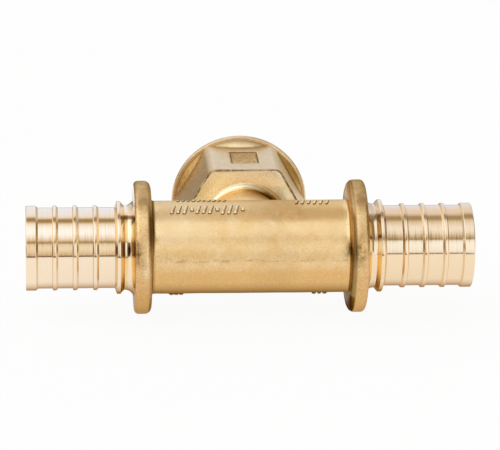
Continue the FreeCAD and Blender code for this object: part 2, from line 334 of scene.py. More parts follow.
def make_branch(skin, hexagon):
    """The branch's outside, from the tube's skin to the mouth. Returns its last ring, with angles."""
    angles = [math.atan2(z, x) for x, z, _, _ in hexagon]

    def circle(radius, height):
        return [polar(radius, t, height) for t in angles]

    def inset(distance, height):
        return [(x - distance * nx, height, z - distance * nz) for x, z, nx, nz in hexagon]

    # where a ball of the fillet's radius touches the neck and the tube
    track = NECK + NECK_FILLET
    lift = TUBE + NECK_FILLET
    centres = [
        Vector((track * math.cos(t), math.sqrt(lift**2 - (track * math.sin(t)) ** 2), track * math.sin(t)))
        for t in angles
    ]
    to_neck = [Vector((-math.cos(t), 0, -math.sin(t))) for t in angles]
    to_tube = [-Vector((0, c.y, c.z)) / lift for c in centres]

    # tube skin between the fillet and the edge of the patch
    border = patch_border()
    rows = []
    for i in range(13):
        share = (i / 12) ** 1.3
        row = []
        for centre, (x, angle) in zip(centres, border):
            start = math.atan2(centre.z, centre.y)
            turn = lerp(start, angle, share)
            row.append((lerp(centre.x, x, share), TUBE * math.cos(turn), TUBE * math.sin(turn)))
        rows.append(row)
    skin.grid(rows, FORGED)

    rows = []
    for i in range(11):
        row = []
        for centre, a, b in zip(centres, to_tube, to_neck):
            row.append(tuple(centre + swing(a, b, a.angle(b), i / 10) * NECK_FILLET))
        rows.append(row)
    neck_top = SHOULDER - SHOULDER_FILLET
    for i in range(1, 11):
        rows.append([polar(NECK, t, lerp(centre.y, neck_top, i / 10)) for centre, t in zip(centres, angles)])
    for sine, cosine in quarter(12):
        rows.append(circle(NECK + SHOULDER_FILLET * (1 - cosine), neck_top + SHOULDER_FILLET * sine))
    skin.grid(rows, FORGED)

    inner = rows[-1]
    outer = inset(HEX_EDGE, SHOULDER)
    rows = [[tuple(Vector(a).lerp(Vector(b), i / 8)) for a, b in zip(inner, outer)] for i in range(9)]
    skin.grid(rows, SHOULDER_FACE)

    rows = [outer]
    for sine, cosine in quarter(5):
        rows.append(inset(HEX_EDGE * (1 - sine), SHOULDER + HEX_EDGE * (1 - cosine)))
    # the crescents swell outwards from the flats to the flange's back: at a share "up" of their height
    # they stand at a share 1.5 up - 0.5 up**2 of their depth
    depth = FLANGE_BACK - CRESCENT_FOOT
    reach = [math.hypot(x, z) for x, z, _, _ in hexagon]
    meets = []
    for far in reach:
        share = min(max(far - HEX_INRADIUS, 0) / (CRESCENT_TOP - HEX_INRADIUS), 1)
        meets.append(CRESCENT_FOOT + depth * (1.5 - math.sqrt(2.25 - 2 * share)))
    flats_top = 31.2
    heights = [15.3, 16, 17, 18, 19, PANEL_LOW - PANEL_WALL, PANEL_LOW + PANEL_WALL]
    heights += [21.4, 22.8, 24.2, 25.6, 27, 28.2, PANEL_HIGH - PANEL_WALL, PANEL_HIGH + PANEL_WALL]
    for height in (*heights, 30.2, flats_top):
        rows.append(inset(0, height))
    for share in (0.35, 0.7, 0.92, 1):
        rows.append([(x, lerp(flats_top, meet, share), z) for (x, z, _, _), meet in zip(hexagon, meets)])
    skin.grid(rows, HEXAGON)

    def cone_row(share):
        row = []
        for t, far, meet in zip(angles, reach, meets):
            height = lerp(meet, FLANGE_BACK, share)
            up = (height - CRESCENT_FOOT) / depth
            radius = max(far, HEX_INRADIUS + (CRESCENT_TOP - HEX_INRADIUS) * (1.5 * up - 0.5 * up**2))
            row.append(polar(radius, t, height))
        return row

    rows = [rows[-1]] + [cone_row(share) for share in (0.08, 0.3, 0.5, 0.7, 0.92, 1)]
    skin.grid(rows, CONE)
    rows = [rows[-1]]
    last = [math.hypot(x, z) for x, _, z in rows[-1]]
    for share in (0.15, 0.55, 1):
        radii = [lerp(r, FLANGE - FLANGE_EDGE, share) for r in last]
        rows.append([polar(r, t, FLANGE_BACK) for r, t in zip(radii, angles)])
    for sine, cosine in quarter(5):
        rows.append(circle(FLANGE - FLANGE_EDGE * (1 - sine), FLANGE_BACK + FLANGE_EDGE * (1 - cosine)))
    for height in (34.95, 35.2, MOUTH - MOUTH_EDGE):
        rows.append(circle(FLANGE, height))
    skin.grid(rows, HEXAGON)

    rows = [rows[-1]]
    for sine, cosine in quarter(3):
        rows.append(circle(FLANGE - MOUTH_EDGE * (1 - cosine), MOUTH - MOUTH_EDGE * (1 - sine)))
    skin.grid(rows, TURNED)
    return [(math.degrees(t) % 360, point) for t, point in zip(angles, rows[-1])]


def make_socket(skin, mouth_ring):
    """What is machined out of the branch, from the mouth down to the run's bore."""
    corners = [
        (MOUTH, 13.4, 0),
        (MOUTH, THREAD_ROOT + 0.8, 0.1),
        (THREAD_TOP, THREAD_ROOT, 0.1),
        (THREAD_END, THREAD_ROOT, 0.1),
        (PILOT_TOP, PILOT, 0.1),
        (PILOT_END, PILOT, 0.1),
        (DRILL_END, RUN_BORE, 0.1),
        (DRILL_END - 0.5, RUN_BORE, 0),
    ]
    step = math.tau / RUN_STEPS
    turns = [step * j for j in range(RUN_STEPS)]
    rows = []
    for height, radius in rounded(corners, longest=1.6):
        rows.append([polar(radius, t, height) for t in turns])
    for share in (0.25, 0.5, 0.75, 0.95, 1):
        row = []
        for t in turns:
            height = lerp(DRILL_END - 0.5, abs(RUN_BORE * math.cos(t)), share)
            row.append(polar(RUN_BORE, t, height))
        rows.append(row)
    skin.grid(rows, BORED)
    inner = [(math.degrees(t), point) for t, point in zip(turns, rows[0])]
    skin.bridge(sorted(mouth_ring), inner, TURNED)


def make_run(skin):
    step = math.tau / RUN_STEPS
    for side in (-1, 1):
        turned = turned_outline()
        skin.grid([run_ring(side * s, r) for s, r in turned], TURNED)
        skin.grid([run_ring(side * s, r) for s, r in forged_outline()], FORGED)
        rows = []
        for share in (0, 0.03, 0.15, 0.4, 0.7, 0.95, 1):
            row = []
            for j in range(RUN_STEPS):
                inner = RUN_BORE * max(math.cos(step * j), 0)
                along = side * lerp(inner, turned[0][0], share)
                row.append((along, RUN_BORE * math.cos(step * j), RUN_BORE * math.sin(step * j)))
            rows.append(row)
        skin.grid(rows, BORED)
    rows = []
    for i in range(PATCH_COLUMNS + 1):
        x = lerp(-PATCH_X, PATCH_X, i / PATCH_COLUMNS)
        ring = run_ring(x, TUBE)
        rows.append(ring[PATCH_STEPS : RUN_STEPS - PATCH_STEPS + 1])
    skin.grid(rows, FORGED, closed=False)


def on_panel(point, level):
    x, y, z = (c / MM for c in point)
    return z > level - 0.01 and PANEL_LEFT < x < PANEL_RIGHT and PANEL_LOW < y < PANEL_HIGH


def press_panel(piece):
    """Lowers the middle of the top flat to make the bare recessed panel."""
    for vertex in piece.data.vertices:
        if on_panel(vertex.co, HEX_INRADIUS):
            vertex.co.z -= PANEL_DEPTH * MM
    for face in piece.data.polygons:
        if on_panel(face.center, HEX_INRADIUS - PANEL_DEPTH):
            face.material_index = PANEL


def shoulder_lean(x, z):
    """How far the shoulder leans along the branch: its top away from the run, its right side towards it."""
    away = SHOULDER_LEAN * max(z - SHOULDER_LEAN_FROM, 0) * min(max(x + 4, 0) / 6, 1)
    return away - SHOULDER_TURN * max(x, 0)


def roughen(piece):
    """Gives the forged skin the slight unevenness that a die leaves, and the shoulder its lean."""
    work = bmesh.new()
    work.from_mesh(piece.data)
    work.normal_update()
    moves = []
    for vertex in work.verts:
        if any(face.material_index in (TURNED, BORED, PANEL) for face in vertex.link_faces):
            continue
        place = vertex.co / MM
        swell = noise.noise(place * 0.22) * 0.03 + noise.noise(place * 0.9 + Vector((7, 1, 3))) * 0.008
        move = vertex.normal * swell
        near_shoulder = min((place.y - SHOULDER + 1.3) / 1.2, (SHOULDER + 0.45 - place.y) / 0.4)
        if place.z > -HEX_INRADIUS and near_shoulder > 0:
            move.y += shoulder_lean(place.x, place.z) * min(near_shoulder, 1)
        moves.append((vertex, move * MM))
    for vertex, move in moves:
        vertex.co += move
    work.to_mesh(piece.data)
    work.free()


# ---------------------------------------------------------------- materials
def colour(r, g, b):
    return (r, g, b, 1.0)


class Graph:
    """A short way to write a node tree."""

    def __init__(self, tree):
        self.tree = tree

    def join(self, socket, value):
        if isinstance(value, bpy.types.NodeSocket):
            self.tree.links.new(value, socket)
        else:
            socket.default_value = value

    def add(self, kind, inputs=None, **settings):
        node = self.tree.nodes.new(kind)
        for name, value in settings.items():
            setattr(node, name, value)
        for name, value in (inputs or {}).items():
            self.join(node.inputs[name], value)
        return node

    def split(self, vector):
        parts = self.add("ShaderNodeSeparateXYZ", {"Vector": vector}).outputs
        return [parts[axis] for axis in "XYZ"]

    def math(self, operation, a, b=0.0):
        return self.add("ShaderNodeMath", {0: a, 1: b}, operation=operation).outputs[0]

    def plus(self, a, b):
        return self.math("ADD", a, b)

    def times(self, first, *others):
        for other in others:
            first = self.math("MULTIPLY", first, other)
        return first

    def most(self, first, *others):
        for other in others:
            first = self.math("MAXIMUM", first, other)
        return first

    def size(self, value):
        return self.math("ABSOLUTE", value)

    def off(self, value, centre):
        """How far the value is from the centre."""
        return self.size(self.plus(value, -centre))

    def length(self, a, b):
        return self.math("POWER", self.plus(self.math("POWER", a, 2), self.math("POWER", b, 2)), 0.5)

    def fade(self, value, low, high, to_low=0.0, to_high=1.0, **settings):
        """Goes from to_low to to_high while the value goes from low to high, and no further."""
        inputs = {"Value": value, "From Min": low, "From Max": high, "To Min": to_low, "To Max": to_high}
        return self.add("ShaderNodeMapRange", inputs, **settings).outputs["Result"]

    def mix(self, share, a, b):
        return self.add("ShaderNodeMix", {0: share, 6: a, 7: b}, data_type="RGBA").outputs[2]

    def ramp(self, share, low, high, stops, interpolation="LINEAR"):
        """share says how far a value is from low to high. stops are (value, colour or brightness)."""
        node = self.add("ShaderNodeValToRGB", {"Fac": share})
        node.color_ramp.interpolation = interpolation
        elements = node.color_ramp.elements
        while len(elements) > 1:
            elements.remove(elements[-1])
        for index, (stop, tone) in enumerate(stops):
            position = (stop - low) / (high - low)
            element = elements[0] if index == 0 else elements.new(position)
            element.position = position
            element.color = colour(*(tone if isinstance(tone, tuple) else (tone, tone, tone)))
        return node.outputs["Color"]


class Nodes(Graph):
    """A material's node tree, and the base colour as it stands so far."""

    def __init__(self, name):
        self.material = bpy.data.materials.new(name)
        self.material.use_nodes = True
        super().__init__(self.material.node_tree)
        self.shader = self.tree.nodes["Principled BSDF"]
        self.base = None

    def place(self, scale=(1, 1, 1)):
        """Coordinates on the object in millimetres, stretched by scale."""
        source = self.add("ShaderNodeTexCoord").outputs["Object"]
        factor = tuple(s / MM for s in scale)
        return self.add("ShaderNodeMapping", {"Vector": source, "Scale": factor}).outputs["Vector"]

    def noise(self, vector, scale, detail=2.0, roughness=0.5):
        inputs = {"Vector": vector, "Scale": scale, "Detail": detail, "Roughness": roughness}
        return self.add("ShaderNodeTexNoise", inputs).outputs["Fac"]

    def coat(self, tone, *shares):
        """Lays a tone over the base colour, as strongly as the product of the shares."""
        tone = tone if isinstance(tone, bpy.types.NodeSocket) else colour(*tone)
        self.base = self.mix(self.times(*shares), self.base, tone)

    def bump(self, height, distance, normal=None):
        inputs = {"Height": height, "Distance": distance * MM, "Strength": 1.0}
        if normal is not None:
            inputs["Normal"] = normal
        return self.add("ShaderNodeBump", inputs).outputs["Normal"]

    def set(self, name, value):
        self.join(self.shader.inputs[name], value)


def forged_brass(name, light, dark, rough):
    """Blasted skin: grain, soft mottling and brown stains, with painted shade (a deeper tone below the parting
    line, darker roots and undersides) and painted highlights.
    """
    nodes = Nodes(name)
    plus, times, most = nodes.plus, nodes.times, nodes.most
    off, fade, coat = nodes.off, nodes.fade, nodes.coat
    place = nodes.place()
    x, y, z = nodes.split(place)
    along = nodes.size(x)
    radius = nodes.length(y, z)
    spread = nodes.length(x, z)
    # how far out a point is, measured square to the nearest flat of the hexagon
    flat = plus(times(along, math.cos(math.radians(30))), times(nodes.size(z), 0.5))
    flat = most(flat, nodes.size(z))
    cloud = nodes.noise(place, 0.3, 4.0, 0.6)
    patch = nodes.noise(place, 0.55, 3.0, 0.7)
    fine = nodes.noise(place, 1.7, 4.0, 0.65)
    speck = nodes.noise(place, 3.6, 2.0, 0.6)
    tube = fade(radius, 13.0, 11.5)
    tube_or_rim = fade(radius, 16, 15)
    on_rim = times(fade(radius, 13.4, 14.2), tube_or_rim)

    # the skin's tone, with painted shade deepening it towards the underside, and what the blasting left on it
    nodes.base = nodes.mix(fade(cloud, 0.36, 0.64), dark, light)
    ragged_z = plus(z, fade(fine, 0.0, 1.0, -0.9, 0.9))
    painted_shade_below = plus(fade(z, 6, 0.5, 0, 0.22), fade(ragged_z, -1.2, -2.9, 0, 0.65))
    coat((0.87, 0.52, 0.19), painted_shade_below, tube_or_rim)
    coat((0.8, 0.52, 0.24), on_rim, 0.45)
    # painted shade: the rims darker towards their bottoms, more on the left collar
    coat((0.66, 0.36, 0.11), on_rim, fade(z, -3.5, -8.0), fade(x, -1, 1, 0.6, 0.1))
    # painted highlight near the left collar rim's inner edge, about its middle height
    coat((1.0, 0.85, 0.55), on_rim, fade(off(x, -23.5), 0.7, 0.2), fade(nodes.size(z), 4.0, 2.0), 0.6)
    coat((0.5, 0.3, 0.12), on_rim, fade(x, 22.9, 24.0), fade(z, 4, 7), 0.35)
    coat((0.6, 0.36, 0.13), on_rim, fade(fine, 0.52, 0.36, 0, 0.55))
    grit = {"shoulder_brass": 0.15, "crescent_brass": 0.35}.get(name, 1.0)
    coat((0.6, 0.33, 0.1), fade(fine, 0.44, 0.26, 0, 0.24 * grit))
    coat((0.6, 0.35, 0.12), fade(speck, 0.56, 0.34, 0, 0.24 * grit))
    coat((1.0, 0.84, 0.55), fade(speck, 0.52, 0.7, 0, 0.3 * grit))
    # painted shade: the top of the right collar's root and inner face toned down to tan
    coat((0.76, 0.56, 0.25), fade(x, 21.3, 21.7), fade(x, 22.8, 22.4), fade(z, 9.0, 7.0), 0.6)
    # painted shade under the collars' rims and along the tube's underside, also darkening their reflection
    inside = times(fade(x, 22.9, 22.5, 0.25, 1.0), fade(x, -23.0, -22.5, 0.4, 1.0))
    painted_underside_shade = times(fade(z, -9.0, -14.5, 0, 0.7), fade(radius, 13.0, 14.5), inside)
    painted_underside_shade = most(times(fade(z, -5.6, -9.8, 0, 0.7), tube), painted_underside_shade)
    coat((0.33, 0.2, 0.09), painted_underside_shade)
    if name == "forged_brass":
        # painted light and shade on the front of the tube's top half: paler to the left and right, darker bands
        # at two heights and at the top; behind it a pale coat, painted light for the shoulder to mirror
        high = times(fade(z, 2.5, 4.5), fade(along, 21.0, 20.5), fade(y, 3.4, 3.1))
        coat((1.0, 0.78, 0.5), high, fade(x, -6, -14, 0, 0.4))
        coat((0.97, 0.7, 0.36), high, fade(x, 5, 13, 0, 0.3))
        coat((0.84, 0.57, 0.27), high, fade(off(z, 6.7), 1.4, 0.5), 0.35)
        coat((0.72, 0.45, 0.17), high, fade(off(z, 9.2), 1.5, 0.7), fade(x, -8, 12, 0.1, 0.6))
        coat((0.6, 0.4, 0.18), high, fade(z, 9.6, 10.1), fade(x, -1, 6, 0.15, 0.6), fade(x, 13, 9))
        coat((1.0, 0.88, 0.64), fade(y, 3.1, 3.5), fade(z, 3, 5), tube, fade(x, -2, 6, 0.4, 1.0))

    # painted shade in the roots of the collars and beside the neck; brown stain over their rims and along the
    # parting line
    # painted shade in the collars' roots and inner faces, lighter where the fillet catches light, and spilling
    # onto the tube beside the right collar
    gold = times(fade(z, 2.0, 4.0), fade(off(radius, 12.9), 1.6, 1.2), fade(x, -1, 1, 0.4, 1.0))
    root = times(
        fade(plus(along, fade(x, -1, 1, 0, -0.6)), 21.2, 21.5),
        fade(plus(along, fade(x, -1, 1, 0, -0.25)), 22.98, 22.62),
        most(fade(z, 12.0, 10.0), fade(radius, 14.2, 14.7, 0, 0.7)),
        fade(gold, 0, 1, 1, 0.5),
        most(fade(z, -1.5, 2.2, 0.6, 0.85), fade(z, -6.5, -8.5, 0, 0.92)),
        most(fade(x, -1, 1), fade(z, 3.0, 6.0, 0.5, 1.0)),
    )
    painted_root_shade_spill = times(
        fade(x, 0, 1),
        fade(off(z, 2.2), 3.2, 0.6),
        fade(along, 20.1, 21.9),
        fade(patch, 0.3, 0.62, 0.4, 1.0),
        fade(along, 23.2, 22.4),
        0.9,
    )
    rim = times(
        fade(radius, 13.6, 14.5),
        fade(off(z, 3.2), 4.0, 0.5),
        fade(patch, 0.38, 0.6),
        fade(x, 25.6, 24.4),
        most(fade(x, -1, 1), fade(x, -24.9, -23.9, 1, 0.15)),
    )
    drift = fade(nodes.noise(place, 0.25, 3.0, 0.6), 0.0, 1.0, -1.0, 0.8)
    line = times(
        fade(nodes.size(plus(z, drift)), 0.5, 0.05),
        fade(nodes.noise(place, 1.1, 4.0, 0.7), 0.42, 0.68, 0.0, 0.56),
        fade(y, 8, 0),
        fade(x, 6, 16, 1, 0.5),
    )
    top = times(fade(z, 10.5, 13.5), fade(patch, 0.3, 0.62, 0.15, 0.6), fade(along, 21.8, 22.1), 0.7)
    # painted shade on the neck's right side, in the corner by the shoulder and the tube
    painted_neck_shade = times(fade(x, -1.0, 3.6), fade(y, 3.5, 12.8, 0.1, 1.0), fade(spread, 10.9, 10.1), 0.75)
    stains_and_painted_shade = most(rim, line, top, painted_neck_shade)
    cloudy = times(fade(z, 7.2, 8.6), fade(x, 2.5, 6.5), fade(x, 14, 11), fade(patch, 0.35, 0.6))
    coat((0.66, 0.38, 0.15), cloudy, tube, 0.55)

    if name == "crescent_brass":
        # painted light and shade by side: the left crescent darker, the right more orange, the top paler
        coat((0.6, 0.34, 0.11), fade(x, -6.0, -9.0, 0, 0.85))
        coat((1.0, 0.7, 0.32), fade(x, 6.0, 8.0))
        coat((1.0, 0.81, 0.53), fade(along, 3.5, 1.5), 0.8)
        # painted shade along the crescents' edges, where they meet the flats and the rim, with dark speckle on
        # the far left
        edge = most(fade(flat, 14.05, 13.75), fade(spread, 14.75, 15.05))
        stains_and_painted_shade = most(times(edge, 0.65), times(fade(x, -8.0, -11.0), fade(fine, 0.54, 0.42), 0.55))
    if name == "hexagon_brass":
        # painted highlight on the hexagon's right side, and painted shade along its rounding at the shoulder
        coat((1.0, 0.84, 0.6), fade(x, 6.5, 8.5, 0, 0.9))
        stains_and_painted_shade = times(fade(y, 15.1, 14.8), fade(patch, 0.3, 0.55))
    if name == "shoulder_brass":
        # painted light: the shoulder warmer from its middle and paler to the right, with painted shade along the
        # hexagon's edges
        coat((1.0, 0.8, 0.53), fade(x, -4.0, 1.0))
        coat((1.0, 0.92, 0.76), fade(x, 3.0, 9.0))
        stains_and_painted_shade = times(fade(flat, 13.0, 13.25), fade(patch, 0.4, 0.65, 0, 0.5))
    if name == "panel_brass":
        # dark grain over the panel's floor, and painted shade along its walls
        border = most(
            fade(off(x, (PANEL_LEFT + PANEL_RIGHT) / 2), 2.7, 3.0),
            fade(off(y, (PANEL_LOW + PANEL_HIGH) / 2), 3.9, 4.4),
        )
        stains_and_painted_shade = most(fade(fine, 0.5, 0.38, 0.05, 0.7), times(border, 0.75))
    stains_and_painted_shade = times(stains_and_painted_shade, fade(fine, 0.2, 0.6, 0.5, 0.95))
    if name == "forged_brass":
        # painted highlight on the left of the neck's fillet, painted shade on its right
        coat((0.96, 0.85, 0.62), fade(y, 13.2, 13.8), fade(x, 3, -1, 0.2, 0.85))
        coat((0.72, 0.44, 0.17), fade(y, 13.0, 13.5), fade(x, 1.0, 6.0), 0.75)
        stains_and_painted_shade = most(stains_and_painted_shade, root, painted_root_shade_spill)
    if name == "mark_brass":
        # darker towards the marks' feet: dirt and painted shade
        stains_and_painted_shade = fade(radius, TUBE + 0.26, TUBE + 0.12, 0, 0.85)
    # the brown of the stains and of the painted shade
    coat((0.17, 0.095, 0.025), stains_and_painted_shade)

    nodes.set("Base Color", nodes.base)
    nodes.set("Metallic", 1.0)
    clean = {"hexagon_brass": colour(1.0, 0.98, 0.92), "shoulder_brass": colour(1.0, 0.95, 0.85)}
    clean = clean.get(name, colour(0.86, 0.72, 0.55))
    nodes.set("Specular Tint", nodes.mix(most(stains_and_painted_shade, painted_underside_shade), clean, colour(0.19, 0.12, 0.05)))
    polish = times(fade(along, 20.2, 20.8), fade(radius, 13.0, 12.0))
    polish = most(polish, times(fade(y, 10.6, 11.6), fade(y, 15, 14.5)))
    matt = fade(nodes.noise(place, 1.1, 3.0, 0.6), 0.3, 0.7, rough - 0.05, rough + 0.07)
    matt = plus(matt, times(polish, -0.1))
    if name == "shoulder_brass":
        matt = plus(matt, fade(x, 0.0, 6.0, 0.0, -0.08))
    if name == "forged_brass":
        matt = plus(matt, times(fade(off(z, 8.95), 1.1, 0.4), tube, 0.16))
    nodes.set("Roughness", matt)
    swell = nodes.bump(cloud, 0.1)
    grain = nodes.bump(fine, 0.05 if name == "panel_brass" else 0.02, swell)
    nodes.set("Normal", nodes.bump(speck, 0.018, grain))
    return nodes.material


def turned_brass():
    """Bright turned metal with fine feed marks, with painted reflections and shade: deeper tones on steep
    flanks, in the grooves and underneath.
    """
    nodes = Nodes("turned_brass")
    plus, times, most = nodes.plus, nodes.times, nodes.most
    off, fade, coat = nodes.off, nodes.fade, nodes.coat
    place = nodes.place()
    x, y, z = nodes.split(place)
    along = nodes.size(x)
    right = fade(x, -1, 1)

    def by_height(height, stops):
        return nodes.ramp(fade(height, -12, 12), -12, 12, stops)

    def bands(spans):
        """White where a point lies in one of the spans along the run, black elsewhere."""
        stops = [(25, 0)]
        for low, high in sorted(spans):
            stops += [(low, 1), (high, 0)]
        return nodes.ramp(fade(along, 25, RUN_END), 25, RUN_END, stops, "CONSTANT")

    marks = nodes.noise(nodes.place((1, 0.02, 0.02)), 2.6, 5.0, 0.75)
    nodes.base = nodes.mix(nodes.noise(place, 0.2, 2.0), colour(0.91, 0.73, 0.555), colour(0.94, 0.77, 0.6))
    coat((0.8, 0.6, 0.4), fade(marks, 0.52, 0.36), fade(z, -0.5, 1.0, 0.1, 0.28))
    # painted reflection of the floor: below the middle the barbs are paler, more orange on the right
    painted_floor_tint = nodes.mix(right, colour(0.99, 0.815, 0.615), colour(0.975, 0.765, 0.52))
    coat(painted_floor_tint, fade(z, 0.9, 0.4))
    # a painted dark reflection streak along the barbs at mid-height, broken by the feed marks, stronger on the
    # right
    painted_dark_streak = fade(off(z, 4.5), 1.5, 0.2)
    coat((0.45, 0.3, 0.12), painted_dark_streak, fade(marks, 0.52, 0.4), fade(right, 0, 1, 0.3, 0.65))
    # painted shade: the barbs darker towards the bottom, and their reflection browner
    low = fade(z, -5.6, -8.8)
    coat((0.66, 0.42, 0.22), low)
    nodes.set("Specular Tint", nodes.mix(low, colour(1, 1, 1), colour(0.5, 0.3, 0.14)))

    # steep flanks, those that face the run's end and those that face its middle, take painted reflections: tones
    # that change with height and side
    outer = [(RIDGE_FRONT - 0.02, RIDGE_FOOT + 0.05), (LAND_FOOT - 0.04, LAND_BACK - 0.18)]
    outer = bands(outer + [(centre + 0.34, centre + 0.52) for centre in RIB_CENTRES])
    inner = bands([(centre - 0.82, centre - 0.36) for centre in RIB_CENTRES])
    tan, dark, gilt, umber = (0.84, 0.58, 0.28), (0.34, 0.2, 0.07), (1.0, 0.84, 0.48), (0.5, 0.33, 0.13)
    left_outer = by_height(z, [(0.6, tan), (1.0, dark), (3.8, dark), (4.3, tan)])
    left_inner = by_height(z, [(0.6, tan), (1.0, gilt), (7.4, gilt), (8.2, tan)])
    right_outer = by_height(z, [(4.0, tan), (4.4, dark), (8.2, dark), (8.8, tan)])
    right_inner = by_height(z, [(1.0, tan), (1.4, umber), (3.9, umber), (4.4, tan)])
    coat(nodes.mix(right, left_outer, right_outer), outer, 0.75)
    coat(nodes.mix(right, left_inner, right_inner), inner, 0.6)

    # painted reflections on the ridge's inner slope and in the groove: gold, with dark caps painted across them
    short_of_ridge = fade(along, RIDGE_BACK + 0.07, RIDGE_BACK + 0.01)
    past_collar = fade(along, COLLAR_FACE - 0.08, COLLAR_FACE + 0.02)
    slope = times(fade(plus(along, fade(right, 0, 1, 0.0, -0.85)), 27.1, 27.5), short_of_ridge)
    slope = most(slope, times(fade(along, 27.0, 26.1, 0, 0.8), past_collar))
    pale, painted_dark = (0.97, 0.86, 0.6), (0.2, 0.11, 0.03)
    left_painted_reflection = [
        (-12, (0.55, 0.33, 0.12)), (-7.5, (0.75, 0.5, 0.22)), (-5, (1.0, 0.76, 0.4)), (0.4, (0.95, 0.67, 0.32)),
        (0.9, (0.4, 0.24, 0.08)), (3.8, (0.4, 0.24, 0.08)), (4.4, (0.8, 0.6, 0.3)), (5.0, pale), (7.7, pale),
        (8.0, (0.85, 0.63, 0.32)), (8.3, painted_dark), (8.5, painted_dark), (8.8, (0.95, 0.7, 0.42)), (9.3, (1.0, 0.86, 0.7)),
    ]
    right_painted_reflection = [
        (-12, (0.5, 0.3, 0.1)), (-7, (0.75, 0.5, 0.2)), (-4.5, (1.0, 0.72, 0.35)), (-1, (1.0, 0.74, 0.34)),
        (1.0, (0.95, 0.7, 0.35)), (1.6, pale), (3.7, pale), (4.3, (0.85, 0.6, 0.28)), (4.5, painted_dark), (4.9, painted_dark),
        (5.3, (0.66, 0.46, 0.2)), (7.7, (0.6, 0.4, 0.16)), (8.3, (0.42, 0.26, 0.1)), (8.5, (0.42, 0.26, 0.1)),
        (8.8, (0.9, 0.68, 0.42)), (9.3, (1.0, 0.86, 0.7)),
    ]
    level = plus(z, times(plus(nodes.length(y, z), -GROOVE), -0.38))
    coat(nodes.mix(right, by_height(level, left_painted_reflection), by_height(level, right_painted_reflection)), slope)
    painted_dark_cap = times(fade(off(level, 8.4), 0.4, 0.15), short_of_ridge, past_collar)
    coat(painted_dark, painted_dark_cap, fade(right, 0, 1, 0.85, 0.5))
    # each painted reflection stripe round the left groove: its middle and half width, the levels it spans, its
    # share and tone
    stripes = (
        (27.8, 0.24, (0.8, 4.0), 1.0, (1.0, 0.86, 0.64)),
        (27.12, 0.3, (0.8, 4.0), 0.9, (0.08, 0.04, 0.01)),
        (27.95, 0.6, (4.3, 8.1), 0.95, (0.78, 0.54, 0.24)),
    )
    for middle, half, (bottom, top), share, tone in stripes:
        stripe = fade(off(along, middle), half, half - 0.12)
        stripe = times(stripe, fade(level, bottom, bottom + 0.2), fade(level, top, top - 0.2))
        coat(tone, stripe, fade(right, 1, 0), share)

    nodes.set("Base Color", nodes.base)
    nodes.set("Metallic", 1.0)
    nodes.set("Roughness", fade(most(outer, inner, slope), 0, 1, 0.065, 0.25))
    nodes.set("Normal", nodes.bump(marks, 0.014))
    return nodes.material


def bored_brass():
    """Drilled and reamed metal inside the waterways and the socket."""
    nodes = Nodes("bored_brass")
    place = nodes.place()
    base = nodes.mix(nodes.noise(place, 0.25, 3.0), colour(0.76, 0.54, 0.3), colour(0.86, 0.66, 0.42))
    nodes.set("Base Color", base)
    nodes.set("Metallic", 1.0)
    nodes.set("Roughness", 0.22)
    nodes.set("Normal", nodes.bump(nodes.noise(place, 2.2, 3.0, 0.6), 0.02))
    return nodes.material


materials = [
    forged_brass("forged_brass", colour(0.98, 0.75, 0.44), colour(0.91, 0.63, 0.31), 0.31),
    turned_brass(),
    bored_brass(),
    forged_brass("hexagon_brass", colour(0.8, 0.62, 0.4), colour(0.74, 0.55, 0.33), 0.3),
    forged_brass("panel_brass", colour(0.86, 0.64, 0.36), colour(0.74, 0.5, 0.24), 0.34),
    # the shoulder's copy is paler, with a whiter reflection: painted light
    forged_brass("shoulder_brass", colour(1.0, 0.92, 0.74), colour(0.97, 0.85, 0.62), 0.36),
    forged_brass("crescent_brass", colour(0.97, 0.77, 0.46), colour(0.88, 0.64, 0.32), 0.33),
    forged_brass("mark_brass", colour(1.0, 0.88, 0.64), colour(0.97, 0.8, 0.52), 0.3),
]


def keep(piece):
    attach(piece, "root")
    return piece


skin = Skin()
make_run(skin)
make_socket(skin, make_branch(skin, hexagon_outline()))
tee = skin.build("tee", materials)
press_panel(tee)
roughen(tee)
keep_flats_flat(tee)
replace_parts(keep(tee), "tee_body")


# ---------------------------------------------------------------- thread
def make_thread():
    """The ridge of the pipe thread, wound round the socket and faded at both ends."""
    steps_a_turn = 96
    low, high = THREAD_END + 0.5, THREAD_TOP - 0.2
    count = round((high - low) / THREAD_PITCH * steps_a_turn)
    fade = steps_a_turn // 3
    rows = []
    for i in range(count + 1):
        t = math.tau * i / steps_a_turn
        height = low + THREAD_PITCH * i / steps_a_turn
        grown = min(1, i / fade, (count - i) / fade)
        crest = THREAD_ROOT - grown * lerp(1.3, 1.05, i / count)
        half = [(0.12 + 0.7 * grown, THREAD_ROOT + 0.06), (0.13, crest + 0.04), (0.06, crest)]
        section = half + [(-up, r) for up, r in reversed(half)]
        rows.append([polar(r, t, height + up) for up, r in section])
    thread = Skin()
    thread.grid(rows, 0)
    width = len(rows[0])
    thread.faces += [tuple(range(width)), tuple(range(len(thread.points) - width, len(thread.points)))]
    thread.materials += [0, 0]
    return thread.build("branch_thread", [materials[BORED]])


thread = make_thread()
keep_flats_flat(thread)
keep(thread)


